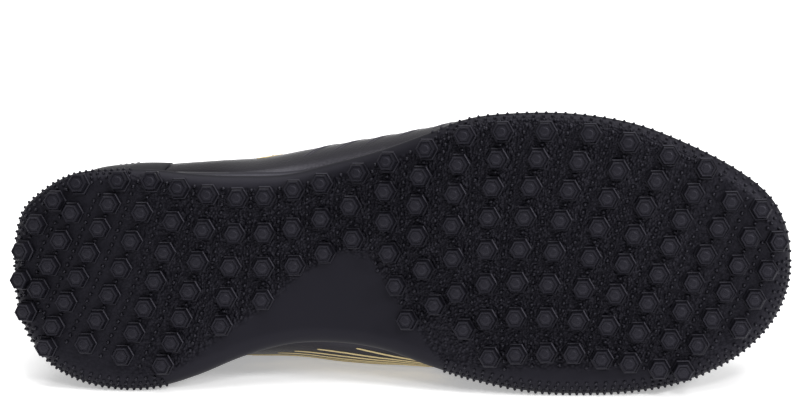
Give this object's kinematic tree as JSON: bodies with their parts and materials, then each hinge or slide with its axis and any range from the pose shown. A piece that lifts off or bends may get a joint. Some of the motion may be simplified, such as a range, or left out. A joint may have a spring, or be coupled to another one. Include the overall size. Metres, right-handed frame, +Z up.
{
  "type": "field hockey shoe",
  "caption": "Right field hockey shoe for artificial turf, lying on its side: studded rubber sole with hexagonal studs in curved rows, foam midsole, low padded upper, tongue and laces.",
  "frame": {"origin": "centre of the bounding box's bottom, on the floor that the shoe lies on", "axes": "+X from heel to toe, +Y from the sole towards the collar, +Z up from the medial side to the lateral side"},
  "size_m": [0.2882, 0.1164, 0.1012],
  "materials": {
    "outsole_rubber": "moulded matt rubber with slightly shiny stud tips",
    "midsole_foam": "matt skin of moulded foam",
    "upper_synthetic": "satin synthetic leather with fine grain",
    "lining_fabric": "soft knitted lining",
    "lace_fabric": "flat woven lace"
  },
  "bodies": {
    "root": {"outsole": "outsole_rubber", "midsole": "midsole_foam", "upper": "upper_synthetic", "heel_counter": "upper_synthetic", "eyestay_medial": "upper_synthetic", "eyestay_lateral": "upper_synthetic", "tongue": "lining_fabric", "insole": "lining_fabric", "lace_1": "lace_fabric", "lace_2": "lace_fabric", "lace_3": "lace_fabric", "lace_4": "lace_fabric", "lace_5": "lace_fabric", "lace_6": "lace_fabric"}
  },
  "joints": []
}
